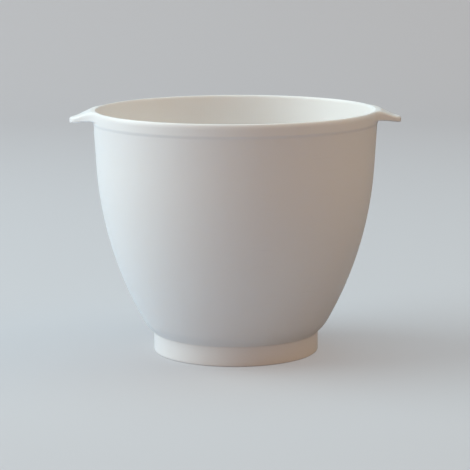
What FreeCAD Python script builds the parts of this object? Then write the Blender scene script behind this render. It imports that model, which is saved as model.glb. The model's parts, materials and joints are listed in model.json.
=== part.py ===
import FreeCAD, Part
import math
import os

# A stand mixer bowl: one thin-walled plastic moulding.
# Millimetres, +Z up. The origin is the centre of the foot's bottom, and the two lugs lie along X.

# Wall: a straight draft under the rim, a long side arc, a corner arc and a flat floor
height = 189.0
wall = 3.0
draft_deg = 3.5
straight_depth = 44.5
side_radius = 281.0
corner_radius = 34.0
floor_clearance = 8.0

# Rim: a slightly thicker band with rounded edges
rim_radius = 110.0
band_height = 10.0
band_proud = 0.6
band_round = 0.4
lip_outer_round = 1.7
lip_inner_round = 1.3

# Lugs: two drooping ears that grow out of the band
lug_reach = 18.0
lug_tip_radius = 13.0
lug_flank_radius = 46.0
lug_shoulder_radius = 8.0
lug_droop_deg = 25.5
lug_tip_level = 7.0
lug_hollow_radius = 14.0
lug_tip_slope_deg = 7.0
lug_root_thickness = 7.0
lug_tip_thickness = 4.6
lug_under_round = 1.2
lug_blend_reach = 2.6
lug_corner_gap = 0.2

# Foot: a plain ring under the bowl
foot_radius = 64.2
foot_wall = 3.2
foot_edge_round = 0.8
foot_join_round = 1.5

# Bayonet: inward tabs at the foot's bottom, each with a stop rib at its middle
tab_count = 3
tab_angle_deg = 42.0
tab_depth = 4.0
tab_height = 3.0
stop_width = 4.0

# Gate mark: the small disc that moulding leaves under the floor
gate_radius = 4.0
gate_proud = 0.6

AXIS_POINT = FreeCAD.Vector(0, 0, 0)
AXIS = FreeCAD.Vector(0, 0, 1)
# How near an edge has to be to count as found, and how much wider the lug's sweep is than its outline
MATCH = 0.02
SWEEP_SPARE = 1.5


def section_point(radius, z):
    return FreeCAD.Vector(radius, 0, z)


def line(start, end):
    return Part.LineSegment(start, end).toShape()


def arc(points):
    return Part.Arc(*points).toShape()


def closed_lines(corners):
    return [line(start, end) for start, end in zip(corners, corners[1:] + corners[:1])]


def revolved(edges, angle_deg=360.0, start_deg=90.0):
    """A solid turned about Z from closed section edges. A full turn has its seam between the lugs."""
    face = Part.Face(Part.Wire(edges))
    face.rotate(AXIS_POINT, AXIS, start_deg)
    return face.revolve(AXIS_POINT, AXIS, angle_deg)


class WallFace:
    """One face of the wall in section: the outer face, or the same line moved inwards by an offset."""

    def __init__(self, offset):
        self.offset = offset
        self.draft = math.radians(draft_deg)
        self.top_radius = rim_radius - band_proud
        self.top_z = height - band_height
        straight_z = height - straight_depth
        straight_radius = self.top_radius - (self.top_z - straight_z) * math.tan(self.draft)
        # Both arcs bulge outwards, so their centres lie on the inner side of the wall.
        self.side_centre = (
            straight_radius - side_radius * math.cos(self.draft),
            straight_z + side_radius * math.sin(self.draft),
        )
        # The side arc turns until a corner arc that touches it also touches the floor's underside.
        between = side_radius - corner_radius
        self.turn = math.asin((self.side_centre[1] - floor_clearance - corner_radius) / between)
        self.corner_centre = (
            self.side_centre[0] + between * math.cos(self.turn),
            self.side_centre[1] - between * math.sin(self.turn),
        )

    def on_side(self, angle):
        reach = side_radius - self.offset
        return section_point(
            self.side_centre[0] + reach * math.cos(angle),
            self.side_centre[1] - reach * math.sin(angle),
        )

    def on_corner(self, angle):
        reach = corner_radius - self.offset
        return section_point(
            self.corner_centre[0] + reach * math.cos(angle),
            self.corner_centre[1] - reach * math.sin(angle),
        )

    def straight_radius_at(self, z):
        """Radius of the straight stretch, carried up to any height."""
        outer = self.top_radius - (self.top_z - z) * math.tan(self.draft)
        return outer - self.offset / math.cos(self.draft)

    def height_at(self, radius):
        """Height of the curved stretch where it has this radius."""
        across = (radius - self.corner_centre[0]) / (corner_radius - self.offset)
        if across < math.cos(self.turn):
            return self.on_corner(math.acos(max(across, 0.0))).z
        across = (radius - self.side_centre[0]) / (side_radius - self.offset)
        return self.on_side(math.acos(min(across, 1.0))).z

    def filled(self, top_z):
        """All the space within this face, up to a flat top."""
        right_angle = 0.5 * math.pi
        top = section_point(self.straight_radius_at(top_z), top_z)
        side = [self.on_side(a) for a in (self.draft, 0.5 * (self.draft + self.turn), self.turn)]
        corner = [self.on_corner(a) for a in (self.turn, 0.5 * (self.turn + right_angle), right_angle)]
        floor_middle = section_point(0, corner[2].z)
        top_middle = section_point(0, top_z)
        return revolved([
            line(top, side[0]),
            arc(side),
            arc(corner),
            line(corner[2], floor_middle),
            line(floor_middle, top_middle),
            line(top_middle, top),
        ])


def rim_band():
    """The thicker band round the rim, still filled to the axis."""
    return revolved(closed_lines([
        section_point(0, height - band_height),
        section_point(rim_radius, height - band_height),
        section_point(rim_radius, height),
        section_point(0, height),
    ]))


def lug_outline():
    """The +X lug from above: a round tip, and hollow flanks that run out along the rim."""
    tip_centre = FreeCAD.Vector(rim_radius + lug_reach - lug_tip_radius, 0, 0)
    from_axis = rim_radius + lug_flank_radius
    from_tip = lug_tip_radius + lug_flank_radius
    flank_x = (from_axis ** 2 - from_tip ** 2 + tip_centre.x ** 2) / (2 * tip_centre.x)
    flank_centre = FreeCAD.Vector(flank_x, math.sqrt(from_axis ** 2 - flank_x ** 2), 0)
    to_axis = flank_centre * (-1.0 / flank_centre.Length)
    to_tip = tip_centre - flank_centre
    to_tip.normalize()
    halfway = to_axis + to_tip
    halfway.normalize()
    flank = [flank_centre + way * lug_flank_radius for way in (to_axis, halfway, to_tip)]
    mirrored = [FreeCAD.Vector(point.x, -point.y, 0) for point in reversed(flank)]
    tip = [flank[2], FreeCAD.Vector(rim_radius + lug_reach, 0, 0), mirrored[0]]
    root = [point * ((rim_radius - wall) / rim_radius) for point in (mirrored[2], flank[0])]
    return [
        arc(flank),
        arc(tip),
        arc(mirrored),
        line(mirrored[2], root[0]),
        line(root[0], root[1]),
        line(root[1], flank[0]),
    ]


def lug_section():
    """The lug cut along its middle: level at the rim, drooping, then levelling out at the tip."""
    droop = math.radians(lug_droop_deg)
    tip_slope = math.radians(lug_tip_slope_deg)
    tip_radius = rim_radius + lug_reach
    beyond = tip_radius + lug_tip_thickness
    # The shoulder arc bulges upwards and the tip arc is hollow. A straight droop joins them.
    shoulder = [
        section_point(
            rim_radius + lug_shoulder_radius * math.sin(angle),
            height - lug_shoulder_radius * (1 - math.cos(angle)),
        )
        for angle in (0.0, 0.5 * droop, droop)
    ]
    level_radius = tip_radius - lug_tip_level
    level_z = shoulder[2].z - (level_radius - shoulder[2].x) * math.tan(droop)
    hollow_x = level_radius + lug_hollow_radius * math.sin(droop)
    hollow_z = level_z + lug_hollow_radius * math.cos(droop)
    hollow = [
        section_point(hollow_x - lug_hollow_radius * math.sin(angle), hollow_z - lug_hollow_radius * math.cos(angle))
        for angle in (droop, 0.5 * (droop + tip_slope), tip_slope)
    ]
    tip_top_z = hollow[2].z - (tip_radius - hollow[2].x) * math.tan(tip_slope)
    beyond_top = section_point(beyond, hollow[2].z - (beyond - hollow[2].x) * math.tan(tip_slope))
    # The underside is straight from under the rim to under the tip. A hollow arc eases it into the band's foot,
    # through a point just short of the corner between them.
    root_z = height - lug_root_thickness
    under = math.atan((root_z - tip_top_z + lug_tip_thickness) / lug_reach)
    beyond_under = section_point(beyond, root_z - (beyond - rim_radius) * math.tan(under))
    blend = [
        section_point(rim_radius + lug_blend_reach, root_z - lug_blend_reach * math.tan(under)),
        section_point(rim_radius + lug_corner_gap, root_z - 2 * lug_corner_gap),
        section_point(rim_radius, height - band_height),
    ]
    inner_under = section_point(rim_radius - 0.5 * wall, height - band_height)
    inner_top = section_point(rim_radius - 0.5 * wall, height)
    return [
        line(inner_top, shoulder[0]),
        arc(shoulder),
        line(shoulder[2], hollow[0]),
        arc(hollow),
        line(hollow[2], beyond_top),
        line(beyond_top, beyond_under),
        line(beyond_under, blend[0]),
        arc(blend),
        line(blend[2], inner_under),
        line(inner_under, inner_top),
    ]


def lug():
    """One lug on +X: the section swept round the rim and trimmed to the outline from above."""
    outline = Part.Wire(lug_outline())
    corner = outline.Edges[0].Vertexes[0].Point
    span = SWEEP_SPARE * math.degrees(math.atan2(abs(corner.y), corner.x))
    swept = revolved(lug_section(), 2 * span, -span)
    tool = Part.Face(outline).extrude(FreeCAD.Vector(0, 0, 2 * height))
    return swept.common(tool)


def foot_ring(outer_face):
    """The foot's ring, from the table up into the wall."""
    top = outer_face.height_at(foot_radius) + 0.5 * wall
    inner = foot_radius - foot_wall
    return revolved(closed_lines([
        section_point(inner, 0),
        section_point(foot_radius, 0),
        section_point(foot_radius, top),
        section_point(inner, top),
    ]))


def bayonet_tab(outer_face, middle_deg):
    """One inward tab at the foot's bottom, with a stop rib that rises into the wall."""
    outer = foot_radius - 0.5 * foot_wall
    inner = foot_radius - foot_wall - tab_depth
    tab = revolved(closed_lines([
        section_point(inner, 0),
        section_point(outer, 0),
        section_point(outer, tab_height),
        section_point(inner, tab_height),
    ]), tab_angle_deg, middle_deg - 0.5 * tab_angle_deg)
    rib_top = outer_face.height_at(outer)
    rib = Part.makeBox(outer - inner, stop_width, rib_top, FreeCAD.Vector(inner, -0.5 * stop_width, 0))
    rib.rotate(AXIS_POINT, AXIS, middle_deg)
    return tab.fuse(rib)


def middle_of(edge):
    return edge.valueAt(0.5 * (edge.FirstParameter + edge.LastParameter))


def rings_at(shape, radius, z):
    """Edges whose middle lies at this distance from the axis and this height."""
    found = []
    for edge in shape.Edges:
        point = middle_of(edge)
        if abs(math.hypot(point.x, point.y) - radius) < MATCH and abs(point.z - z) < MATCH:
            found.append(edge)
    return found


def edges_through(shape, points):
    """Edges whose middle is one of these points."""
    return [edge for edge in shape.Edges if any(middle_of(edge).distanceToPoint(p) < MATCH for p in points)]


def upright_meets(shape, edge, point):
    """The other face's upward lean where an upright face meets it at this edge, or 0."""
    leans = []
    for face in shape.Faces:
        if any(other.isSame(edge) for other in face.Edges):
            leans.append(face.normalAt(*face.Surface.parameter(point)).z)
    if len(leans) != 2 or min(abs(lean) for lean in leans) > MATCH:
        return 0.0
    return max(leans, key=abs)


def on_outline(point, outline):
    """Whether a point is over either lug's outline."""
    seen_from_above = Part.Vertex(FreeCAD.Vector(abs(point.x), point.y, 0))
    return seen_from_above.distToShape(outline)[0] < MATCH


def rounded(shape):
    """Rounds the rim, the lugs' outlines above and below, the band's lower edge and the foot."""
    outline = Part.Wire(lug_outline()[:3])
    rim_and_lug_tops = []
    lug_undersides = []
    for edge in shape.Edges:
        point = middle_of(edge)
        on_rim = abs(math.hypot(point.x, point.y) - rim_radius) < MATCH and abs(point.z - height) < MATCH
        on_lug = point.z > height - 2 * band_height and on_outline(point, outline)
        if on_rim or on_lug:
            lean = upright_meets(shape, edge, point)
            if lean > 0.5:
                rim_and_lug_tops.append(edge)
            elif lean < -0.5 and on_lug:
                lug_undersides.append(edge)
    foot_top = WallFace(0.0).height_at(foot_radius)
    rim_inner = WallFace(wall).straight_radius_at(height)
    middles = [middle_of(edge) for edge in lug_undersides]
    shape = shape.makeFillet(lip_outer_round, rim_and_lug_tops)
    shape = shape.makeFillet(lug_under_round, edges_through(shape, middles))
    shape = shape.makeFillet(lip_inner_round, rings_at(shape, rim_inner, height))
    shape = shape.makeFillet(band_round, rings_at(shape, rim_radius, height - band_height))
    shape = shape.makeFillet(foot_join_round, rings_at(shape, foot_radius, foot_top))
    return shape.makeFillet(foot_edge_round, rings_at(shape, foot_radius, 0))


def bowl():
    outer_face = WallFace(0.0)
    inner_face = WallFace(wall)
    body = outer_face.filled(height - band_height)
    ear = lug()
    opposite = ear.copy()
    opposite.rotate(AXIS_POINT, AXIS, 180)
    pieces = [rim_band(), ear, opposite, foot_ring(outer_face)]
    for index in range(tab_count):
        pieces.append(bayonet_tab(outer_face, 90.0 + index * 360.0 / tab_count))
    gate_base = FreeCAD.Vector(0, 0, floor_clearance - gate_proud)
    pieces.append(Part.makeCylinder(gate_radius, gate_proud + 0.5 * wall, gate_base))
    body = body.fuse(pieces).removeSplitter()
    return rounded(body.cut(inner_face.filled(height)))


os.makedirs("parts", exist_ok=True)
if __name__ == "__main__":
    shape = bowl()
    print("solids", len(shape.Solids), "valid", shape.isValid(), "volume cm3", round(shape.Volume / 1000.0, 1))
    shape.exportStep("parts/bowl.step")
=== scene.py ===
import json
import math

import bpy
from bpy.props import FloatProperty, FloatVectorProperty, IntProperty, PointerProperty
from mathutils import Matrix, Vector


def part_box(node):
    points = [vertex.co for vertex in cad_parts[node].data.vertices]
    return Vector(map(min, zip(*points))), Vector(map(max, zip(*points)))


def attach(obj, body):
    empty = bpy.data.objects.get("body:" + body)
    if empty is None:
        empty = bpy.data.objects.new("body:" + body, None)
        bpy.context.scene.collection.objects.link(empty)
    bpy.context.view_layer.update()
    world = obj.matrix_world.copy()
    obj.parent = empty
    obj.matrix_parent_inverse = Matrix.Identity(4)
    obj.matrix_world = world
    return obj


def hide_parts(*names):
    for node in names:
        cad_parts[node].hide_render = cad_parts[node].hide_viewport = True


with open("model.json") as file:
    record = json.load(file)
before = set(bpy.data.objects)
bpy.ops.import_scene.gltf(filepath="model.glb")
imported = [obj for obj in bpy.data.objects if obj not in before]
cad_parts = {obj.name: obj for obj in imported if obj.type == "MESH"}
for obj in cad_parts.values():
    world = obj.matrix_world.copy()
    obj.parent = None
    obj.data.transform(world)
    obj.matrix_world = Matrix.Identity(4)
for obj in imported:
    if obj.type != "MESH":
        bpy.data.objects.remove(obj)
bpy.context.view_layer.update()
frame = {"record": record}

bl_info = {
    "name": "Stand Mixer Bowl",
    "version": (1, 0, 0),
    "blender": (4, 5, 0),
    "location": "3D View > Sidebar > Mixer Bowl",
    "description": "Builds a white moulded mixer bowl with side lugs and a bayonet foot, and its stage",
    "category": "Add Mesh",
}

BOWL_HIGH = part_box("bowl")[1]
LUG_REACH = BOWL_HIGH[0] - BOWL_HIGH[1]
PLASTIC = frame["record"]["materials"][0]
MM = 0.001
QUARTER_TURN = 0.5 * math.pi


# Properties

def length(name, description, millimetres):
    return FloatProperty(
        name=name, description=description, default=millimetres * MM, min=0.0, precision=5,
        unit="LENGTH", subtype="DISTANCE",
    )


def angle(name, description, degrees):
    return FloatProperty(
        name=name, description=description, default=math.radians(degrees), min=0.0,
        unit="ROTATION", subtype="ANGLE",
    )


def share(name, description, default):
    return FloatProperty(
        name=name, description=description, default=default, min=0.0, max=1.0, subtype="FACTOR",
    )


def colour(name, description, default):
    return FloatVectorProperty(
        name=name, description=description, default=default, min=0.0, max=1.0, size=3, subtype="COLOR",
    )


def lamp_power(name, description, watts):
    return FloatProperty(name=name, description=description, default=watts, min=0.0, unit="POWER")


class BowlSizes(bpy.types.PropertyGroup):
    """Sizes of the wall, rim, lugs, foot and gate mark."""

    height: length("Height", "From the table to the top of the rim", BOWL_HIGH[2] / MM)
    wall: length("Wall", "Thickness of the wall and the floor", 3.0)
    draft: angle("Draft", "Lean of the straight wall under the rim", 3.5)
    straight_depth: length("Straight Depth", "From the rim's top to where the wall starts to curve in", 44.5)
    side_radius: length("Side Radius", "Radius of the long outer arc of the side", 281.0)
    corner_radius: length("Corner Radius", "Radius of the outer arc between the side and the floor", 34.0)
    floor_clearance: length("Floor Clearance", "From the table to the floor's underside", 8.0)

    rim_radius: length("Rim Radius", "Outer radius of the rim's band", BOWL_HIGH[1] / MM)
    band_height: length("Band Height", "Height of the thicker band round the rim", 10.0)
    band_proud: length("Band Proud", "How far the band stands out from the wall", 0.6)
    band_fade: length("Band Fade", "Height over which the band runs out into the wall", 3.2)
    lip_outer_round: length("Lip Outer Round", "Rounding of the rim's and the lugs' outer top edge", 1.7)
    lip_outer_crown: length("Lip Outer Crown", "How far down the rim's outer top edge is rounded", 4.0)
    lip_inner_round: length("Lip Inner Round", "Rounding of the rim's inner top edge", 1.3)
    lip_inner_crown: length("Lip Inner Crown", "How far down the rim's inner top edge is rounded", 3.0)

    lug_reach: length("Lug Reach", "How far a lug stands out from the rim", LUG_REACH / MM)
    lug_tip_radius: length("Lug Tip Radius", "Radius of the lug's tip seen from above", 13.0)
    lug_flank_radius: length("Lug Flank Radius", "Radius of the hollow flanks seen from above", 46.0)
    lug_shoulder_radius: length("Lug Shoulder Radius", "Radius of the bend from the rim into the droop", 8.0)
    lug_droop: angle("Lug Droop", "Slope of the lug's drooping top", 25.5)
    lug_tip_level: length("Lug Tip Level", "How far from the tip the droop starts to level out", 7.0)
    lug_hollow_radius: length("Lug Hollow Radius", "Radius of the bend that levels the lug out", 14.0)
    lug_tip_slope: angle("Lug Tip Slope", "Slope of the top at the lug's tip", 7.0)
    lug_root_thickness: length("Lug Root Thickness", "Thickness of the lug at the rim", 7.0)
    lug_tip_thickness: length("Lug Tip Thickness", "Thickness of the lug at its tip", 4.6)
    lug_under_round: length("Lug Under Round", "Rounding of the lug's lower edge and of its root", 1.2)

    foot_radius: length("Foot Radius", "Outer radius of the foot's ring", 64.2)
    foot_wall: length("Foot Wall", "Thickness of the foot's ring", 3.2)
    foot_edge_round: length("Foot Edge Round", "Rounding of the foot's lower outer edge", 0.8)
    foot_join_round: length("Foot Join Round", "Hollow round between the wall and the foot", 1.5)
    gate_radius: length("Gate Radius", "Radius of the moulding's gate mark under the floor", 4.0)
    gate_proud: length("Gate Proud", "How far the gate mark stands out", 0.6)

    around: IntProperty(name="Steps Around", description="Steps round the axis", default=400, min=32)
    crowding: share("Crowding", "How far the steps crowd together at the lugs", 0.6)


class BayonetSizes(bpy.types.PropertyGroup):
    """Sizes of the tabs inside the foot."""

    count: IntProperty(name="Tabs", description="How many tabs there are", default=3, min=1)
    span: angle("Tab Span", "Angle that one tab covers", 42.0)
    depth: length("Tab Depth", "How far a tab stands in from the foot's ring", 4.0)
    height: length("Tab Height", "Height of a tab above the table", 3.0)
    stop_width: length("Stop Width", "Width of the stop rib at a tab's middle", 4.0)
    edge: length("Tab Edge", "Rounding of the tabs' edges", 0.3)


class BowlFinish(bpy.types.PropertyGroup):
    """Colour and gloss of the white plastic."""

    base: colour("Plastic", "Colour of the moulded plastic", PLASTIC["base_color"])
    second: colour("Second Tone", "Colour that the plastic drifts towards in patches", (0.845, 0.84, 0.825))
    # This colour also draws the painted shade in the creases at the band's foot and the foot's join
    worn: colour("Worn", "Colour of soiled and rubbed places", (0.56, 0.54, 0.50))
    roughness: share("Roughness", "Mean roughness of the plastic", 0.37)
    translucency: share("Translucency", "How much light passes below the surface", 0.15)


class StageLook(bpy.types.PropertyGroup):
    """Floor, backdrop and light."""

    floor: colour("Floor", "Colour of the floor as the camera sees it", (0.64, 0.66, 0.685))
    backdrop: colour("Backdrop", "Even tone of the background", (0.51, 0.52, 0.54))
    evenness: share("Evenness", "How much of the floor's seen colour is the even tone", 0.45)
    bounce: colour("Bounce", "Colour that the floor throws back on the bowl's left", (0.50, 0.55, 0.63))
    shade: colour("Shade", "Colour that the floor throws back on the bowl's right", (0.25, 0.24, 0.25))
    fill: colour("Fill Light", "Colour of the even light from all round", (1.0, 0.685, 0.515))
    fill_strength: FloatProperty(
        name="Fill Strength", description="Strength of the even light from all round",
        default=0.437, min=0.0,
    )
    key: colour("Key Lamp", "Colour of the soft lamp at the left", (0.776, 0.943, 1.0))
    key_power: lamp_power("Key Power", "Power of the soft lamp at the left", 57.0)
    side: colour("Side Lamp", "Colour of the weak soft lamp at the right", (1.0, 0.82, 0.54))
    side_power: lamp_power("Side Power", "Power of the weak soft lamp at the right", 7.0)
    top: colour("Top Lamp", "Colour of the large lamp overhead", (0.40, 0.80, 1.0))
    top_power: lamp_power("Top Power", "Power of the large lamp overhead", 14.0)


# Node trees

class Graph:
    """Adds nodes to one tree and lays them out in columns from the inputs on."""

    COLUMN_WIDTH = 190
    ROW_HEIGHT = 180

    def __init__(self, tree):
        self.tree = tree
        self.columns = {}
        self.filled = {}

    def add(self, kind, inputs=None, **settings):
        """Adds a node. An input takes a value, a socket, a field or a list of sockets."""
        node = self.tree.nodes.new(kind)
        for name, value in settings.items():
            setattr(node, name, value)
        column = 0
        for key, given in (inputs or {}).items():
            for value in given if isinstance(given, list) else [given]:
                if isinstance(value, Field):
                    value = value.socket
                if isinstance(value, bpy.types.NodeSocket):
                    self.tree.links.new(value, node.inputs[key])
                    column = max(column, self.columns[value.node.name] + 1)
                else:
                    node.inputs[key].default_value = value
        row = self.filled.get(column, 0)
        node.location = (self.COLUMN_WIDTH * column, -self.ROW_HEIGHT * row)
        self.columns[node.name] = column
        self.filled[column] = row + 1
        return node


class Field:
    """A socket that takes part in arithmetic: each operation adds its Math node."""

    def __init__(self, graph, socket):
        self.graph = graph
        self.socket = socket

    def math(self, operation, *values, clamp=False):
        node = self.graph.add(
            "ShaderNodeMath", dict(enumerate(values)), operation=operation, use_clamp=clamp,
        )
        return Field(self.graph, node.outputs[0])

    def __add__(self, other):
        return self.math("ADD", self, other)

    def __radd__(self, other):
        return self.math("ADD", other, self)

    def __sub__(self, other):
        return self.math("SUBTRACT", self, other)

    def __rsub__(self, other):
        return self.math("SUBTRACT", other, self)

    def __mul__(self, other):
        return self.math("MULTIPLY", self, other)

    def __rmul__(self, other):
        return self.math("MULTIPLY", other, self)

    def __truediv__(self, other):
        return self.math("DIVIDE", self, other)


def constant(graph, value):
    """A field that has one value everywhere."""
    node = graph.add("ShaderNodeValue")
    node.outputs[0].default_value = value
    return Field(graph, node.outputs[0])


def sine(value):
    return value.math("SINE", value)


def cosine(value):
    return value.math("COSINE", value)


def tangent(value):
    return value.math("TANGENT", value)


def arcsine(value):
    return value.math("ARCSINE", value)


def arccosine(value):
    return value.math("ARCCOSINE", value)


def arctangent(value):
    return value.math("ARCTANGENT", value)


def root(value):
    return value.math("SQRT", value)


def floor_of(value):
    return value.math("FLOOR", value)


def size_of(value):
    return value.math("ABSOLUTE", value)


def lower(first, second):
    return first.math("MINIMUM", first, second)


def higher(first, second):
    return first.math("MAXIMUM", first, second)


def hold(value, low, high):
    return lower(higher(value, low), high)


def part_of(value, start, whole):
    """How far a value has gone from a start over a whole, held between 0 and 1."""
    moved = value - start
    return moved.math("DIVIDE", moved, whole, clamp=True)


def new_tree(name, sizes):
    """A Geometry Nodes tree with one named input for each size, and the node that gives them."""
    tree = bpy.data.node_groups.new(name, "GeometryNodeTree")
    tree.is_modifier = True
    tree.interface.new_socket("Geometry", in_out="OUTPUT", socket_type="NodeSocketGeometry")
    tree.interface.new_socket("Material", in_out="INPUT", socket_type="NodeSocketMaterial")
    kinds = {"INT": "NodeSocketInt", "FLOAT": "NodeSocketFloat"}
    for prop in sizes.bl_rna.properties:
        if prop.identifier in ("rna_type", "name"):
            continue
        socket = tree.interface.new_socket(prop.name, in_out="INPUT", socket_type=kinds[prop.type])
        socket.default_value = prop.default
        socket.description = prop.description
        if prop.subtype in ("DISTANCE", "ANGLE", "FACTOR"):
            socket.subtype = prop.subtype
    graph = Graph(tree)
    given = graph.add("NodeGroupInput")
    return graph, given


def field_inputs(graph, given, sizes):
    """The named inputs by the name that their property has."""
    fields = {}
    for prop in sizes.bl_rna.properties:
        if prop.identifier not in ("rna_type", "name"):
            fields[prop.identifier] = Field(graph, given.outputs[prop.name])
    return fields


def made_mesh(name, tree, sizes, material):
    """Runs a tree with the sizes of a property group and keeps its result as a plain mesh."""
    holder = bpy.data.objects.new(name, bpy.data.meshes.new(name + "_seed"))
    bpy.context.scene.collection.objects.link(holder)
    modifier = holder.modifiers.new(name, "NODES")
    values = {"Material": material}
    for prop in sizes.bl_rna.properties:
        if prop.identifier not in ("rna_type", "name"):
            values[prop.name] = getattr(sizes, prop.identifier)
    modifier.node_group = tree
    for item in tree.interface.items_tree:
        if item.item_type == "SOCKET" and item.in_out == "INPUT":
            modifier[item.identifier] = values[item.name]
    holder.update_tag()
    depsgraph = bpy.context.evaluated_depsgraph_get()
    mesh = bpy.data.meshes.new_from_object(holder.evaluated_get(depsgraph), depsgraph=depsgraph)
    mesh.name = name
    seed = holder.data
    holder.modifiers.remove(modifier)
    holder.data = mesh
    bpy.data.meshes.remove(seed)
    return holder


# The bowl's shape

# Rows of the section's mesh, from the floor's middle up the inside, over the rim and down to the gate mark
ROWS = {
    "inner_floor": 9,
    "inner_corner": 13,
    "inner_side": 36,
    "inner_straight": 8,
    "inner_lip": 7,
    "top": 34,
    "under": 42,
    "outer_straight": 8,
    "outer_side": 36,
    "outer_corner": 9,
    "foot_join": 5,
    "foot_side": 3,
    "foot_edge": 4,
    "foot_base": 2,
    "foot_inside": 4,
    "under_corner": 9,
    "under_floor": 6,
    "gate_side": 1,
    "gate_base": 2,
}
# How much denser rows lie on the small rounds than on the straights beside them
LIP_CROWD = 3.0
UNDER_CROWD = 2.5
BAND_CROWD = 3.0
# How far out on a lug the rim's taller crown has turned into the lug's plain edge round
CROWN_FADE = 6.0 * MM
# Largest share of a lug's reach that its lower rounds take up where it grows out of the rim
ROUND_SHARE = 0.45
# Points of the grid's seam and poles that lie closer than this are merged, in metres
MERGE = 1e-6
# Edges that bend further than this stay sharp
SHARP_ANGLE = math.radians(35)


class Section:
    """The wall's outer line in section, worked out from the named sizes as the construction does."""

    def __init__(self, s):
        self.band_foot = s["height"] - s["band_height"]
        self.top_radius = s["rim_radius"] - s["band_proud"]
        self.straight_z = s["height"] - s["straight_depth"]
        self.lean = tangent(s["draft"])
        self.straight_radius = self.top_radius - (self.band_foot - self.straight_z) * self.lean
        self.side_x = self.straight_radius - s["side_radius"] * cosine(s["draft"])
        self.side_z = self.straight_z + s["side_radius"] * sine(s["draft"])
        between = s["side_radius"] - s["corner_radius"]
        self.turn = arcsine((self.side_z - s["floor_clearance"] - s["corner_radius"]) / between)
        self.corner_x = self.side_x + between * cosine(self.turn)
        self.corner_z = s["floor_clearance"] + s["corner_radius"]


class LugOutline:
    """The rim's edge from above, at an angle from a lug's middle: its radius, and how its slant
    stretches what is measured along the radius."""

    def __init__(self, s, off_middle):
        tip = s["rim_radius"] + s["lug_reach"] - s["lug_tip_radius"]
        flank = s["rim_radius"] + s["lug_flank_radius"]
        between = s["lug_tip_radius"] + s["lug_flank_radius"]
        spread = arccosine((flank * flank + tip * tip - between * between) / (2 * flank * tip))
        flank_y = flank * sine(spread)
        flank_x = flank * cosine(spread)
        join_y = flank_y * s["lug_tip_radius"] / between
        join_x = tip + (flank_x - tip) * s["lug_tip_radius"] / between
        join = join_y.math("ARCTAN2", join_y, join_x)

        on_tip = lower(off_middle, join)
        on_flank = spread - hold(off_middle, join, spread)
        tip_rise = tip * sine(on_tip)
        tip_run = root(s["lug_tip_radius"] * s["lug_tip_radius"] - tip_rise * tip_rise)
        flank_rise = flank * sine(on_flank)
        flank_run = root(s["lug_flank_radius"] * s["lug_flank_radius"] - flank_rise * flank_rise)
        join_turn = spread - join
        join_rise = flank * sine(join_turn)
        join_run = root(s["lug_flank_radius"] * s["lug_flank_radius"] - join_rise * join_rise)

        tip_part = tip * cosine(on_tip) + tip_run
        flank_part = flank * cosine(on_flank) - flank_run
        self.radius = tip_part + flank_part - (flank * cosine(join_turn) - join_run)
        past_tip = off_middle.math("GREATER_THAN", off_middle, join)
        tip_slant = tip_rise / tip_run
        flank_slant = flank_rise / flank_run
        slant = tip_slant + past_tip * (flank_slant - tip_slant)
        self.stretch = root(slant * slant + 1.0)


class LugTop:
    """Height of the lug's top at a radius: level, shoulder, droop, hollow and tip slope."""

    def __init__(self, s):
        self.s = s
        self.shoulder_run = s["lug_shoulder_radius"] * sine(s["lug_droop"])
        self.droop_start = s["rim_radius"] + self.shoulder_run
        self.level_start = s["rim_radius"] + s["lug_reach"] - s["lug_tip_level"]
        self.hollow_x = self.level_start + s["lug_hollow_radius"] * sine(s["lug_droop"])
        self.hollow_end = self.hollow_x - s["lug_hollow_radius"] * sine(s["lug_tip_slope"])
        self.hollow_start_drop = s["lug_hollow_radius"] * cosine(s["lug_droop"])

    def at(self, radius):
        s = self.s
        on_shoulder = hold(radius - s["rim_radius"], 0.0, self.shoulder_run)
        shoulder_z = root(s["lug_shoulder_radius"] * s["lug_shoulder_radius"] - on_shoulder * on_shoulder)
        on_droop = hold(radius, self.droop_start, self.level_start) - self.droop_start
        from_middle = self.hollow_x - hold(radius, self.level_start, self.hollow_end)
        hollow_z = root(s["lug_hollow_radius"] * s["lug_hollow_radius"] - from_middle * from_middle)
        on_tip = higher(radius, self.hollow_end) - self.hollow_end
        return (
            s["height"] - s["lug_shoulder_radius"] + shoulder_z
            - on_droop * tangent(s["lug_droop"])
            + self.hollow_start_drop - hollow_z
            - on_tip * tangent(s["lug_tip_slope"])
        )


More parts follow.
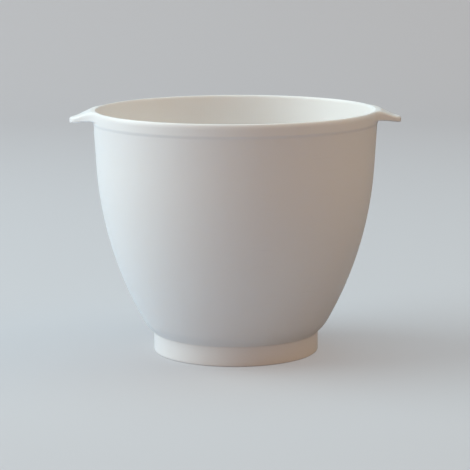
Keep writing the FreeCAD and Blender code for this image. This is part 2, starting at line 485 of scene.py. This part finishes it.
def rim_paths(s, section, outline, lip_x, top_part, under_part):
    """Radius and height over the rim's top and down its side, then under the lug to the band's foot."""
    lug_top = LugTop(s)
    rim_radius = s["rim_radius"]
    radius = outline.radius
    reach = radius - rim_radius
    tip = rim_radius + s["lug_reach"]

    root_z = s["height"] - s["lug_root_thickness"]
    under_slope = (root_z - lug_top.at(tip) + s["lug_tip_thickness"]) / s["lug_reach"]
    crown_fall = s["lip_outer_crown"] - s["lip_outer_round"]
    crown = s["lip_outer_crown"] - part_of(reach, 0.0, CROWN_FADE) * crown_fall
    edge_top = lug_top.at(radius) - crown
    lower_round = lower(s["lug_under_round"], reach * ROUND_SHARE / outline.stretch)
    root_round = lower(s["lug_under_round"], reach * ROUND_SHARE)
    edge_low = root_z - reach * under_slope + lower_round
    middle = (edge_top + edge_low) * 0.5

    # Over the top: level or drooping, then the outer round, then down the side to its middle
    round_run = s["lip_outer_round"] * outline.stretch
    flat_run = radius - round_run - lip_x
    round_rows = s["lip_outer_round"] * (LIP_CROWD * QUARTER_TURN)
    gone = top_part * (flat_run + round_rows + edge_top - middle)
    turn = part_of(gone, flat_run, round_rows) * QUARTER_TURN
    top_x = lip_x + lower(gone, flat_run) + round_run * sine(turn)
    top_z = (
        lug_top.at(top_x)
        - crown * (1.0 - cosine(turn))
        - higher(gone - flat_run - round_rows, 0.0)
    )

    # Down from the side's middle, round the lower edge, in along the underside and down to the band's foot
    side_run = middle - edge_low
    lower_rows = lower_round * (UNDER_CROWD * QUARTER_TURN)
    under_run = reach - lower_round * outline.stretch - root_round
    root_rows = root_round * (UNDER_CROWD * QUARTER_TURN)
    band_run = root_z - root_round - section.band_foot - s["band_fade"] * 0.5
    fade_rows = s["band_fade"] * BAND_CROWD
    marks = [side_run]
    for run in (lower_rows, under_run, root_rows, band_run, fade_rows):
        marks.append(marks[-1] + run)
    gone = under_part * marks[-1]
    round_start, under_start, root_start, band_start, fade_start = marks[:-1]
    lower_turn = part_of(gone, round_start, lower_rows) * QUARTER_TURN
    root_turn = part_of(gone, root_start, root_rows) * QUARTER_TURN
    faded = part_of(gone, fade_start, fade_rows)
    on_under = hold(gone - under_start, 0.0, under_run)
    lug_x = (
        radius
        - lower_round * outline.stretch * (1.0 - cosine(lower_turn))
        - on_under
        - root_round * sine(root_turn)
    )
    fade_run = s["band_proud"] + s["band_fade"] * section.lean * 0.5
    under_x = lug_x - fade_run * 0.5 * (1.0 - cosine(faded * math.pi))
    under_z = (
        root_z - (lug_x - rim_radius) * under_slope
        + side_run - lower(gone, side_run)
        + lower_round * (1.0 - sine(lower_turn))
        - root_round * (1.0 - cosine(root_turn))
        - hold(gone - band_start, 0.0, band_run)
        - s["band_fade"] * faded
    )
    return top_x, top_z, under_x, under_z, radius, middle


def bowl_tree(sizes):
    """A grid whose rows follow the section and whose columns go round the axis, with the lugs drawn out."""
    graph, given = new_tree("Bowl Shape", sizes)
    s = field_inputs(graph, given, sizes)
    section = Section(s)
    rows = sum(ROWS.values()) + 1
    columns = s["around"] + 1

    # Row and angle of each point
    index = Field(graph, graph.add("GeometryNodeInputIndex").outputs[0])
    column = floor_of((index + 0.5) / rows)
    row = index - column * rows
    turn = column / s["around"] * (2 * math.pi)
    turn = turn - s["crowding"] * 0.5 * sine(turn * 2.0)
    across = cosine(turn)
    along = sine(turn)
    off_middle = along.math("ARCTAN2", size_of(along), size_of(across))
    outline = LugOutline(s, off_middle)

    starts = {}
    start = 0
    for name, count in ROWS.items():
        starts[name] = start
        start += count

    def part(name):
        return part_of(row, float(starts[name]), float(ROWS[name]))

    # The section is a sum of steps: each stretch adds what it has moved so far.
    moves_x = []
    moves_z = [s["floor_clearance"] + s["wall"]]

    def straight(name, run, rise):
        moved = part(name)
        if run is not None:
            moves_x.append(moved * run)
        if rise is not None:
            moves_z.append(moved * rise)

    def arc(name, radius, first, last):
        """Moves along an arc whose angles are measured down from the horizontal."""
        turned = first + part(name) * (last - first)
        moves_x.append(radius * (cosine(turned) - cosine(first)))
        moves_z.append(radius * (sine(first) - sine(turned)))

    quarter = constant(graph, QUARTER_TURN)
    none = constant(graph, 0.0)
    draft = s["draft"]
    wall = s["wall"]
    lip_inner = s["lip_inner_round"]
    crown = s["lip_inner_crown"]
    lip_start = arctangent(crown / lip_inner * section.lean)
    lip_start_z = s["height"] - crown * (1.0 - sine(lip_start))
    lip_start_x = (
        section.top_radius - (section.band_foot - lip_start_z) * section.lean - wall / cosine(draft)
    )
    lip_x = lip_start_x + lip_inner * cosine(lip_start)
    inner_straight_z = section.side_z - (s["side_radius"] - wall) * sine(draft)
    straight("inner_floor", section.corner_x, None)
    arc("inner_corner", s["corner_radius"] - wall, quarter, section.turn)
    arc("inner_side", s["side_radius"] - wall, section.turn, draft)
    rise = lip_start_z - inner_straight_z
    straight("inner_straight", rise * section.lean, rise)
    lip_turn = lip_start + part("inner_lip") * (quarter - lip_start)
    moves_x.append(lip_inner * (cosine(lip_start) - cosine(lip_turn)))
    moves_z.append(crown * (sine(lip_turn) - sine(lip_start)))

    top_x, top_z, under_x, under_z, edge_x, edge_z = rim_paths(
        s, section, outline, lip_x, part("top"), part("under"),
    )
    moves_x += [top_x - lip_x, under_x - edge_x]
    moves_z += [top_z - s["height"], under_z - edge_z]

    foot_join = s["foot_join_round"]
    corner = s["corner_radius"]
    join_x = s["foot_radius"] + foot_join - section.corner_x
    join_turn = arccosine(join_x / (corner + foot_join))
    foot_top = section.corner_z - (corner + foot_join) * sine(join_turn)
    foot_inner = s["foot_radius"] - s["foot_wall"]
    inner_turn = arccosine((foot_inner - section.corner_x) / corner)
    inner_z = section.corner_z - corner * sine(inner_turn)
    drop = section.band_foot - section.straight_z - s["band_fade"] * 0.5
    straight("outer_straight", (drop * section.lean) * -1.0, drop * -1.0)
    arc("outer_side", s["side_radius"], draft, section.turn)
    arc("outer_corner", corner, section.turn, join_turn)
    join_angle = join_turn + part("foot_join") * (none - join_turn)
    moves_x.append(foot_join * (cosine(join_turn) - cosine(join_angle)))
    moves_z.append(foot_join * (sine(join_angle) - sine(join_turn)))
    straight("foot_side", None, s["foot_edge_round"] - foot_top)
    arc("foot_edge", s["foot_edge_round"], none, quarter)
    straight("foot_base", s["foot_edge_round"] - s["foot_wall"], None)
    straight("foot_inside", None, inner_z)
    arc("under_corner", corner, inner_turn, quarter)
    straight("under_floor", s["gate_radius"] - section.corner_x, None)
    straight("gate_side", None, s["gate_proud"] * -1.0)
    straight("gate_base", s["gate_radius"] * -1.0, None)

    section_x = sum(moves_x[1:], moves_x[0])
    section_z = sum(moves_z[1:], moves_z[0])
    place = graph.add("ShaderNodeCombineXYZ", {0: section_x * across, 1: section_x * along, 2: section_z})

    grid = graph.add("GeometryNodeMeshGrid", {2: columns, 3: rows})
    moved = graph.add(
        "GeometryNodeSetPosition", {"Geometry": grid.outputs["Mesh"], "Position": place.outputs[0]},
    )
    inside = row.math("LESS_THAN", row, float(starts["top"]))
    kept = graph.add(
        "GeometryNodeStoreNamedAttribute",
        {"Geometry": moved.outputs[0], "Name": "inside", "Value": inside},
        data_type="FLOAT", domain="POINT",
    )
    merged = graph.add("GeometryNodeMergeByDistance", {"Geometry": kept.outputs[0], "Distance": MERGE})
    flipped = graph.add("GeometryNodeFlipFaces", {"Mesh": merged.outputs[0]})
    bend = graph.add("GeometryNodeInputMeshEdgeAngle")
    gentle = graph.add(
        "FunctionNodeCompare", {0: bend.outputs["Unsigned Angle"], 1: SHARP_ANGLE}, operation="LESS_THAN",
    )
    smooth = graph.add(
        "GeometryNodeSetShadeSmooth",
        {"Geometry": flipped.outputs[0], "Shade Smooth": gentle.outputs[0]},
        domain="EDGE",
    )
    finish_tree(graph, given, smooth.outputs[0])
    return graph.tree


def finish_tree(graph, given, geometry):
    """Ends a tree in Realize Instances and Set Material."""
    real = graph.add("GeometryNodeRealizeInstances", {"Geometry": geometry})
    painted = graph.add(
        "GeometryNodeSetMaterial", {"Geometry": real.outputs[0], "Material": given.outputs["Material"]},
    )
    graph.add("NodeGroupOutput", {"Geometry": painted.outputs[0]})


# The bayonet's shape

# Height of the stop ribs' tops, inside the wall above the foot
RIB_TOP = 12.9 * MM
# Points along one tab, and steps on each of its rounded edges
TAB_POINTS = 33
EDGE_STEPS = 4


def bayonet_tree(sizes, bowl):
    """One tab swept along the foot's ring with its stop rib, then set round the axis."""
    graph, given = new_tree("Bayonet Tabs", sizes)
    s = field_inputs(graph, given, sizes)
    ring = bowl.foot_radius - bowl.foot_wall
    # Each tab and rib reaches into the ring by its own rounded edge, so no two faces lie in one plane.
    middle = (s["edge"] - s["depth"]) * 0.5 + ring
    depth = s["depth"] + s["edge"]
    half_height = s["height"] * 0.5

    def bar(path, height):
        """A bar with rounded edges along a path, as deep as a tab."""
        profile = graph.add(
            "GeometryNodeCurvePrimitiveQuadrilateral", {"Width": depth, "Height": height}, mode="RECTANGLE",
        )
        rounded = graph.add(
            "GeometryNodeFilletCurve",
            {"Curve": profile.outputs[0], "Radius": s["edge"], "Count": EDGE_STEPS},
            mode="POLY",
        )
        swept = graph.add(
            "GeometryNodeCurveToMesh",
            {"Curve": path.outputs[0], "Profile Curve": rounded.outputs[0], "Fill Caps": True},
        )
        return swept.outputs[0]

    def shifted(geometry, axis, distance):
        shift = graph.add("ShaderNodeCombineXYZ", {axis: distance})
        moved = graph.add(
            "GeometryNodeTransform", {"Geometry": geometry, "Translation": shift.outputs[0]},
        )
        return moved.outputs[0]

    tab_path = graph.add(
        "GeometryNodeCurveArc",
        {
            "Resolution": TAB_POINTS, "Radius": middle,
            "Start Angle": s["span"] * -0.5, "Sweep Angle": s["span"],
        },
        mode="RADIUS",
    )
    tab = shifted(bar(tab_path, s["height"]), 2, half_height)
    rib_foot = graph.add("ShaderNodeCombineXYZ", {2: half_height})
    rib_path = graph.add(
        "GeometryNodeCurvePrimitiveLine", {"Start": rib_foot.outputs[0], "End": (0.0, 0.0, RIB_TOP)},
    )
    rib = shifted(bar(rib_path, s["stop_width"]), 0, middle)

    both = graph.add("GeometryNodeJoinGeometry", {"Geometry": [tab, rib]})
    points = graph.add("GeometryNodePoints", {"Count": s["count"]})
    index = Field(graph, graph.add("GeometryNodeInputIndex").outputs[0])
    turned = graph.add(
        "ShaderNodeCombineXYZ", {2: index / s["count"] * (2 * math.pi) + QUARTER_TURN},
    )
    ring_of_tabs = graph.add(
        "GeometryNodeInstanceOnPoints",
        {"Points": points.outputs[0], "Instance": both.outputs[0], "Rotation": turned.outputs[0]},
    )
    finish_tree(graph, given, ring_of_tabs.outputs[0])
    return graph.tree


# The white plastic

PLASTIC_NAME = "White Moulded Plastic"
# Noise patterns: scale, octaves, and how strongly each next octave shows
PATTERNS = {
    "flow": (1.6, 3.0, 0.5),
    "peel": (260.0, 1.0, 0.5),
    "grain": (1500.0, 2.0, 0.6),
    "tone": (11.0, 3.0, 0.5),
    "patches": (17.0, 4.0, 0.6),
    "arcs": (1.0, 3.0, 0.65),
    "handling": (31.0, 2.0, 0.5),
    "hairlines": (1.0, 2.0, 0.6),
}
# Where a pattern starts to show, and how much further on it shows in full
SHOWS = {
    "patches": (0.42, 0.25),
    "arcs": (0.60, 0.10),
    "handling": (0.50, 0.12),
    "hairlines": (0.66, 0.08),
}
# How the flow waves and the beater's arcs are drawn out: turns round the axis, lines up the wall
FLOW_DRAWN = (4.0, 3.0)
ARCS_DRAWN = (2.6, 420.0)
# Hairlines: how close they lie in each direction, and the turns of their two planes
HAIRLINE_SCALE = (22.0, 22.0, 900.0)
HAIRLINE_TURNS = ((0.5, 0.3, 0.2), (-0.7, 0.2, 1.9))
# Heights of the surface's relief, in millimetres
FLOW_RELIEF = 0.03
PEEL_RELIEF = 0.005
GRAIN_RELIEF = 0.0012
SCUFF_RELIEF = 0.004
# The beater scuffs the bowl most below this height and ever less over the next stretch
LOW_SCUFFS = 20 * MM
SCUFFS_FADE = 150 * MM
# Share of the arcs that is left high up, and strength of the hairlines beside the arcs
HIGH_SCUFFS = 0.35
HAIRLINE_SHARE = 0.6
# Where wear, soil and painted shade sit: wear and soil on the edge that the bowl stands on and on the rim's
# top, painted shade in the creases at the band's foot and at the foot's join
STANDING_START = 0.2 * MM
STANDING_HEIGHT = 1.6 * MM
RIM_WEAR_HEIGHT = 2.5 * MM
BAND_SHADE_DROP = 0.2 * MM
BAND_SHADE_HEIGHT = 0.7 * MM
JOIN_HEIGHT = 15.1 * MM
JOIN_SHADE_HEIGHT = 1.6 * MM
JOIN_SHADE_REACH = 2.5 * MM
# How strongly wear, soil and the painted shade in the creases show in the colour
BAND_PAINTED_SHADE = 0.05
JOIN_PAINTED_SHADE = 0.3
STANDING_SOIL = 0.55
SOIL_AND_SHADE_TINT = 0.5
SCUFF_TINT = 0.20
TONE_SPREAD = 0.8
# What the patterns and the wear add to the roughness
FLOW_ROUGHNESS = 0.06
PATCH_ROUGHNESS = 0.03
SCUFF_ROUGHNESS = 0.14
STANDING_ROUGHNESS = 0.16
RIM_ROUGHNESS = 0.04
INSIDE_ROUGHNESS = 0.03
# The plastic itself: its refraction and shine, and how far each colour of light spreads inside it
PLASTIC_IOR = 1.49
PLASTIC_SPECULAR = 0.4
GLOW_SPREAD = (1.0, 0.92, 0.82)
GLOW_DEPTH = 2.5 * MM
# Least distance from the axis, so that nothing is divided by zero on it
AXIS_GUARD = 1.0 * MM


def noise(graph, place, pattern):
    """Soft noise about 0.5 at a place."""
    scale, octaves, roughness = PATTERNS[pattern]
    node = graph.add(
        "ShaderNodeTexNoise",
        {"Vector": place, "Scale": scale, "Detail": octaves, "Roughness": roughness},
    )
    return Field(graph, node.outputs[0])


def shown(graph, place, pattern):
    """The strong places of a noise pattern, from 0 to 1."""
    start, width = SHOWS[pattern]
    return part_of(noise(graph, place, pattern), start, width)


def blend(graph, factor, first, second):
    """A colour between two, by a factor."""
    node = graph.add("ShaderNodeMix", {"Factor": factor}, data_type="RGBA")
    ends = [socket for socket in node.inputs if socket.type == "RGBA"]
    for socket, value in zip(ends, (first, second)):
        if isinstance(value, bpy.types.NodeSocket):
            graph.tree.links.new(value, socket)
        else:
            socket.default_value = (*value, 1.0)
    return next(socket for socket in node.outputs if socket.type == "RGBA")


def scratches(graph, place, turned):
    """Fine straight scratches that all run one way, given by the turns of their plane."""
    lines = graph.add(
        "ShaderNodeMapping", {"Vector": place, "Rotation": turned, "Scale": HAIRLINE_SCALE},
    )
    return shown(graph, lines.outputs[0], "hairlines")


def line_at(value, middle, width):
    """One at a level, falling to nothing a width away from it."""
    return 1.0 - part_of(size_of(value - middle), 0.0, width)


def plastic_material(finish, sizes):
    """White moulded plastic: soft gloss, faint flow waves, fine round scuffs and rubbed edges."""
    material = bpy.data.materials.new(PLASTIC_NAME)
    material.use_nodes = True
    material.node_tree.nodes.clear()
    graph = Graph(material.node_tree)
    place = graph.add("ShaderNodeTexCoord").outputs["Object"]
    axes = graph.add("ShaderNodeSeparateXYZ", {0: place})
    x, y, z = (Field(graph, socket) for socket in axes.outputs)
    radius = higher(root(x * x + y * y), AXIS_GUARD)
    inside = Field(graph, graph.add("ShaderNodeAttribute", attribute_name="inside").outputs["Fac"])
    outside = 1.0 - inside
    east = x / radius
    north = y / radius
    climb = z + radius

    def round_place(turns, along):
        """A place for patterns that run round the axis or up the wall, without a seam."""
        node = graph.add("ShaderNodeCombineXYZ", {0: east * turns, 1: north * turns, 2: climb * along})
        return node.outputs[0]

    # Flow waves run up the wall from the gate. Peel and grain are the mould's own surface.
    flow = noise(graph, round_place(*FLOW_DRAWN), "flow")
    peel = noise(graph, place, "peel")
    grain = noise(graph, place, "grain")
    tone = noise(graph, place, "tone")
    patches = shown(graph, place, "patches")

    # Scuffs: a beater's arcs inside, and a few hairlines of handling outside
    low_down = 1.0 - part_of(z, LOW_SCUFFS, SCUFFS_FADE)
    arcs = shown(graph, round_place(*ARCS_DRAWN), "arcs")
    arcs = arcs * inside * patches * (HIGH_SCUFFS + low_down * (1.0 - HIGH_SCUFFS))
    handled = shown(graph, place, "handling") * outside
    hairlines = higher(*(scratches(graph, place, turned) for turned in HAIRLINE_TURNS))
    scuffs = higher(arcs, hairlines * handled * HAIRLINE_SHARE)

    # Rubbed and soiled places on the foot's standing edge and the rim's top, and painted shade: darker lines
    # in the creases at the band's foot and the foot's join
    standing = 1.0 - part_of(z, STANDING_START, STANDING_HEIGHT)
    rim_top = part_of(z, sizes.height - RIM_WEAR_HEIGHT, RIM_WEAR_HEIGHT)
    # Painted shade: a faint darker line in the crease under the rim's band
    band_foot_z = sizes.height - sizes.band_height - BAND_SHADE_DROP
    band_foot = line_at(z, band_foot_z, BAND_SHADE_HEIGHT) * outside
    # Painted shade: a darker line in the crease where the wall meets the foot
    foot_join = (
        line_at(z, JOIN_HEIGHT, JOIN_SHADE_HEIGHT) * outside
        * line_at(radius, sizes.foot_radius, JOIN_SHADE_REACH)
    )
    # The painted shade of the two creases, then the soil on the standing edge, in one mask
    soiled_and_shaded = higher(band_foot * BAND_PAINTED_SHADE, foot_join * JOIN_PAINTED_SHADE) * (0.5 + patches * 0.5)
    soiled_and_shaded = higher(soiled_and_shaded, standing * STANDING_SOIL)

    toned = blend(graph, (tone - 0.5) * TONE_SPREAD + 0.5, finish.base, finish.second)
    # Soil, painted crease shade and scuffs pull the colour towards the darker worn colour
    wear_and_shade = higher(soiled_and_shaded * SOIL_AND_SHADE_TINT, scuffs * SCUFF_TINT)
    worn = blend(graph, wear_and_shade.socket, toned, finish.worn)
    roughness = (
        (flow - 0.5) * FLOW_ROUGHNESS + (patches - 0.5) * PATCH_ROUGHNESS
        + scuffs * SCUFF_ROUGHNESS + standing * STANDING_ROUGHNESS
        + rim_top * RIM_ROUGHNESS + inside * INSIDE_ROUGHNESS + finish.roughness
    )
    relief = (
        flow * FLOW_RELIEF + peel * PEEL_RELIEF + grain * GRAIN_RELIEF - scuffs * SCUFF_RELIEF
    )
    bump = graph.add("ShaderNodeBump", {"Strength": 1.0, "Distance": MM, "Height": relief})
    shader = graph.add(
        "ShaderNodeBsdfPrincipled",
        {
            "Base Color": worn, "Roughness": roughness, "Normal": bump.outputs[0],
            "IOR": PLASTIC_IOR, "Specular IOR Level": PLASTIC_SPECULAR,
            "Subsurface Weight": finish.translucency, "Subsurface Radius": GLOW_SPREAD,
            "Subsurface Scale": GLOW_DEPTH,
        },
    )
    graph.add("ShaderNodeOutputMaterial", {"Surface": shader.outputs[0]})
    return material


def white_plastic():
    """The plastic's material, made once."""
    scene = bpy.context.scene
    made = bpy.data.materials.get(PLASTIC_NAME)
    return made or plastic_material(scene.mixer_bowl_finish, scene.mixer_bowl_sizes)


# Stage

# The floor in metres: half its width, its front edge, its bend into the backdrop and the backdrop's top
FLOOR_HALF_WIDTH = 6.0
FLOOR_FRONT = -3.0
BEND_START = 1.6
BEND_RADIUS = 1.0
BEND_STEPS = 24
BACKDROP_TOP = 4.0
PAPER_ROUGHNESS = 0.95
PAPER_SPECULAR = 0.1
# Where the floor's shaded half starts, and over what width it fades in
SHADE_START = -0.10
SHADE_WIDTH = 0.35
# Each lamp's place and size in metres, and the point that all are aimed at
LAMPS = {
    "key": ((-1.96, 0.07, 1.43), 2.4),
    "side": ((1.5, 0.0, 1.5), 1.6),
    "top": ((0.1, 0.3, 1.9), 1.8),
}
LAMP_AIM = (0.0, 0.0, 0.1)
# The camera: its lens by the frame's width and its focal length in pixels, its place, tilt and roll
FRAME_WIDTH = 470.0
FOCAL_LENGTH = 1886.5
SENSOR_WIDTH = 36.0
CLIP_START = 0.01
CLIP_END = 50.0
CAMERA_PLACE = (-0.0005, -1.450, 0.3408)
LOOK_DOWN = math.radians(9.81)
ROLL = math.radians(-0.2)


def add_floor(look):
    """A level floor that curves up into the backdrop."""
    line = [(FLOOR_FRONT, 0.0), (BEND_START, 0.0)]
    for step in range(1, BEND_STEPS + 1):
        turned = QUARTER_TURN * step / BEND_STEPS
        line.append((BEND_START + BEND_RADIUS * math.sin(turned), BEND_RADIUS * (1 - math.cos(turned))))
    line.append((BEND_START + BEND_RADIUS, BACKDROP_TOP))
    vertices = [(side * FLOOR_HALF_WIDTH, y, z) for y, z in line for side in (-1, 1)]
    faces = [(2 * i, 2 * i + 1, 2 * i + 3, 2 * i + 2) for i in range(len(line) - 1)]
    mesh = bpy.data.meshes.new("stage_floor")
    mesh.from_pydata(vertices, [], faces)
    mesh.polygons.foreach_set("use_smooth", [True] * len(faces))
    mesh.materials.append(stage_paper(look))
    floor = bpy.data.objects.new("stage_floor", mesh)
    bpy.context.scene.collection.objects.link(floor)


def stage_paper(look):
    """Pale paper, which throws more light back on the bowl's left than on its right."""
    material = bpy.data.materials.new("Stage Paper")
    material.use_nodes = True
    material.node_tree.nodes.clear()
    graph = Graph(material.node_tree)
    seen = Field(graph, graph.add("ShaderNodeLightPath").outputs["Is Camera Ray"])
    place = graph.add("ShaderNodeTexCoord").outputs["Object"]
    across = Field(graph, graph.add("ShaderNodeSeparateXYZ", {0: place}).outputs[0])
    thrown = blend(graph, part_of(across, SHADE_START, SHADE_WIDTH), look.bounce, look.shade)
    paper = blend(graph, seen.socket, thrown, look.floor)
    sheet = graph.add(
        "ShaderNodeBsdfPrincipled",
        {"Base Color": paper, "Roughness": PAPER_ROUGHNESS, "Specular IOR Level": PAPER_SPECULAR},
    )
    even = graph.add("ShaderNodeEmission", {"Color": (*look.backdrop, 1.0), "Strength": 1.0})
    mixed = graph.add(
        "ShaderNodeMixShader", {0: seen * look.evenness, 1: sheet.outputs[0], 2: even.outputs[0]},
    )
    graph.add("ShaderNodeOutputMaterial", {"Surface": mixed.outputs[0]})
    return material


def add_light(look):
    """Even light from all round, soft lamps at the left and the right, and a large one overhead."""
    world = bpy.data.worlds.new("Even Fill")
    world.use_nodes = True
    world.node_tree.nodes.clear()
    graph = Graph(world.node_tree)
    fill = graph.add("ShaderNodeBackground", {"Color": (*look.fill, 1.0), "Strength": look.fill_strength})
    backdrop = graph.add("ShaderNodeBackground", {"Color": (*look.backdrop, 1.0), "Strength": 1.0})
    seen = graph.add("ShaderNodeLightPath").outputs["Is Camera Ray"]
    mixed = graph.add("ShaderNodeMixShader", {0: seen, 1: fill.outputs[0], 2: backdrop.outputs[0]})
    graph.add("ShaderNodeOutputWorld", {"Surface": mixed.outputs[0]})
    bpy.context.scene.world = world
    for name, (place, size) in LAMPS.items():
        add_lamp(name + "_lamp", place, size, getattr(look, name), getattr(look, name + "_power"))


def add_lamp(name, place, size, tint, power):
    """A round soft lamp that is aimed at the bowl's middle."""
    lamp = bpy.data.lights.new(name, "AREA")
    lamp.shape = "DISK"
    lamp.size = size
    lamp.energy = power
    lamp.color = tint
    holder = bpy.data.objects.new(name, lamp)
    holder.location = place
    aim = Vector(LAMP_AIM) - holder.location
    holder.rotation_euler = aim.to_track_quat("-Z", "Y").to_euler()
    bpy.context.scene.collection.objects.link(holder)


def add_camera():
    """The camera stands in front of the bowl and looks a little down."""
    lens = bpy.data.cameras.new("camera")
    lens.sensor_width = SENSOR_WIDTH
    lens.lens = SENSOR_WIDTH * FOCAL_LENGTH / FRAME_WIDTH
    lens.clip_start = CLIP_START
    lens.clip_end = CLIP_END
    camera = bpy.data.objects.new("camera", lens)
    camera.location = CAMERA_PLACE
    tilt = Matrix.Rotation(QUARTER_TURN - LOOK_DOWN, 3, "X")
    camera.rotation_euler = (tilt @ Matrix.Rotation(ROLL, 3, "Z")).to_euler()
    bpy.context.scene.collection.objects.link(camera)
    bpy.context.scene.camera = camera


# Operators

class BOWL_OT_add_bowl(bpy.types.Operator):
    """Add the bowl: wall, floor, rim band, lugs, foot ring and gate mark in one moulding"""

    bl_idname = "mixer_bowl.add_bowl"
    bl_label = "Add Bowl"

    def execute(self, context):
        sizes = context.scene.mixer_bowl_sizes
        bowl = made_mesh("mixer_bowl", bowl_tree(sizes), sizes, white_plastic())
        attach(bowl, "root")
        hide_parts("bowl")
        return {"FINISHED"}


class BOWL_OT_add_bayonet(bpy.types.Operator):
    """Add the bayonet tabs with their stop ribs inside the foot"""

    bl_idname = "mixer_bowl.add_bayonet"
    bl_label = "Add Bayonet Tabs"

    def execute(self, context):
        sizes = context.scene.mixer_bowl_bayonet
        tree = bayonet_tree(sizes, context.scene.mixer_bowl_sizes)
        tabs = made_mesh("bayonet_tabs", tree, sizes, white_plastic())
        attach(tabs, "root")
        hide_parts("bowl")
        return {"FINISHED"}


class BOWL_OT_add_stage(bpy.types.Operator):
    """Add the floor, the backdrop, the light and the camera"""

    bl_idname = "mixer_bowl.add_stage"
    bl_label = "Add Stage"

    def execute(self, context):
        look = context.scene.mixer_bowl_stage
        add_floor(look)
        add_light(look)
        add_camera()
        return {"FINISHED"}


# Panel and registration

class BOWL_PT_panel(bpy.types.Panel):
    """Lists the sizes and the steps that build the bowl"""

    bl_idname = "BOWL_PT_panel"
    bl_label = "Mixer Bowl"
    bl_space_type = "VIEW_3D"
    bl_region_type = "UI"
    bl_category = "Mixer Bowl"

    def draw(self, context):
        for operator in OPERATORS:
            self.layout.operator(operator.bl_idname)
        for name in GROUPS:
            group = getattr(context.scene, name)
            box = self.layout.box()
            box.label(text=group.bl_rna.name)
            for prop in group.bl_rna.properties:
                if prop.identifier not in ("rna_type", "name"):
                    box.prop(group, prop.identifier)


OPERATORS = (BOWL_OT_add_bowl, BOWL_OT_add_bayonet, BOWL_OT_add_stage)
GROUPS = {
    "mixer_bowl_sizes": BowlSizes,
    "mixer_bowl_bayonet": BayonetSizes,
    "mixer_bowl_finish": BowlFinish,
    "mixer_bowl_stage": StageLook,
}


def register():
    for group in GROUPS.values():
        bpy.utils.register_class(group)
    for cls in (*OPERATORS, BOWL_PT_panel):
        bpy.utils.register_class(cls)
    for name, group in GROUPS.items():
        setattr(bpy.types.Scene, name, PointerProperty(type=group))


def unregister():
    for name in GROUPS:
        delattr(bpy.types.Scene, name)
    for cls in (BOWL_PT_panel, *reversed(OPERATORS), *GROUPS.values()):
        bpy.utils.unregister_class(cls)


def main():
    register()
    bpy.context.scene.view_settings.view_transform = "Standard"
    bpy.ops.mixer_bowl.add_bowl()
    bpy.ops.mixer_bowl.add_bayonet()
    bpy.ops.mixer_bowl.add_stage()


if __name__ == "__main__":
    main()
